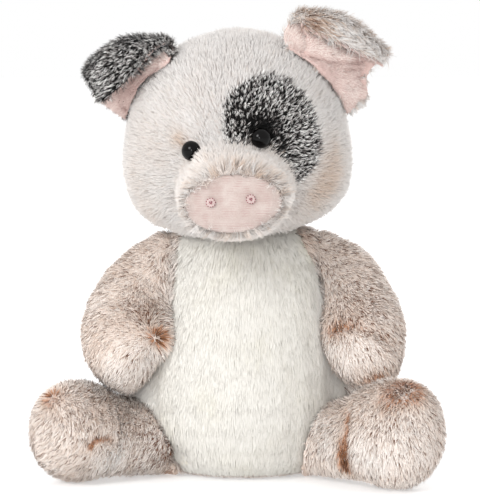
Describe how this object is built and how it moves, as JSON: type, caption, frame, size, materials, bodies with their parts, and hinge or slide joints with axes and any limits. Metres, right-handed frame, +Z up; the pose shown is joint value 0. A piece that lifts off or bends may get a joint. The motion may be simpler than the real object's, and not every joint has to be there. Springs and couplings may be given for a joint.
{
  "type": "plush pig",
  "caption": "Seated stuffed pig of long-pile fabric with a velour snout pad, folded ears, swinging limbs, a turning head and a pellet-weighted seat.",
  "frame": {"origin": "centre of the flat patch of the seat that the toy sits on", "axes": "+Z up, -Y the way the toy faces, +X its left side"},
  "size_m": [0.2485, 0.1692, 0.2834],
  "materials": {
    "tan_pile": "matte",
    "ivory_pile": "matte",
    "cream_pile": "matte",
    "charcoal_pile": "matte",
    "pink_velour": "matte",
    "pink_thread": "satin",
    "black_plastic": "gloss",
    "white_plastic": "satin",
    "white_fibre": "matte",
    "pellet_cloth": "matte"
  },
  "bodies": {
    "torso": {"torso_cover": "tan_pile", "belly_panel": "ivory_pile", "torso_stuffing": "white_fibre", "seat_pellet_pouch": "pellet_cloth"},
    "head": {"head_cover": "cream_pile", "eye_patch": "charcoal_pile", "head_stuffing": "white_fibre", "muzzle_cover": "cream_pile", "muzzle_stuffing": "white_fibre", "snout_pad": "pink_velour", "right_nostril": "pink_thread", "left_nostril": "pink_thread", "right_eye": "black_plastic", "left_eye": "black_plastic", "right_eye_washer": "white_plastic", "left_eye_washer": "white_plastic"},
    "right_ear": {"right_ear_cover": "charcoal_pile", "right_ear_lining": "pink_velour"},
    "left_ear": {"left_ear_cover": "cream_pile", "left_ear_lining": "pink_velour"},
    "right_arm": {"right_arm_cover": "tan_pile", "right_arm_stuffing": "white_fibre"},
    "left_arm": {"left_arm_cover": "tan_pile", "left_arm_stuffing": "white_fibre"},
    "right_leg": {"right_leg_cover": "tan_pile", "right_foot_cover": "tan_pile", "right_leg_stuffing": "white_fibre"},
    "left_leg": {"left_leg_cover": "tan_pile", "left_foot_cover": "tan_pile", "left_leg_stuffing": "white_fibre"},
    "tail": {"tail": "tan_pile"}
  },
  "joints": [
    {"name": "head_turn", "type": "hinge", "parent": "torso", "child": "head", "pos_m": [0, 0.005, 0.1605], "axis": [0, 0, 1], "range_deg": [-25, 25], "stiffness_Nm_per_rad": 0.15},
    {"name": "right_ear_flop", "type": "hinge", "parent": "head", "child": "right_ear", "pos_m": [-0.0445, -0.0316, 0.25064], "axis": [-0.5803, 0.4898, -0.6507], "range_deg": [-16, 16], "stiffness_Nm_per_rad": 0.03},
    {"name": "left_ear_flop", "type": "hinge", "parent": "head", "child": "left_ear", "pos_m": [0.0258, -0.03012, 0.25984], "axis": [0.6498, 0.3563, -0.6714], "range_deg": [-16, 16], "stiffness_Nm_per_rad": 0.03},
    {"name": "right_arm_raise", "type": "hinge", "parent": "torso", "child": "right_arm", "pos_m": [-0.046, 0.002, 0.122], "axis": [-1, 0, 0], "range_deg": [0, 50], "stiffness_Nm_per_rad": 0.1},
    {"name": "left_arm_raise", "type": "hinge", "parent": "torso", "child": "left_arm", "pos_m": [0.046, 0.002, 0.122], "axis": [-1, 0, 0], "range_deg": [0, 50], "stiffness_Nm_per_rad": 0.1},
    {"name": "right_leg_splay", "type": "hinge", "parent": "torso", "child": "right_leg", "pos_m": [-0.041, -0.02, 0.03], "axis": [0, 0, -1], "range_deg": [-5, 12], "stiffness_Nm_per_rad": 0.15},
    {"name": "left_leg_splay", "type": "hinge", "parent": "torso", "child": "left_leg", "pos_m": [0.041, -0.02, 0.03], "axis": [0, 0, 1], "range_deg": [-5, 12], "stiffness_Nm_per_rad": 0.15},
    {"name": "tail_swing", "type": "hinge", "parent": "torso", "child": "tail", "pos_m": [0, 0.05, 0.038], "axis": [0, 0, 1], "range_deg": [-20, 20], "stiffness_Nm_per_rad": 0.02}
  ]
}
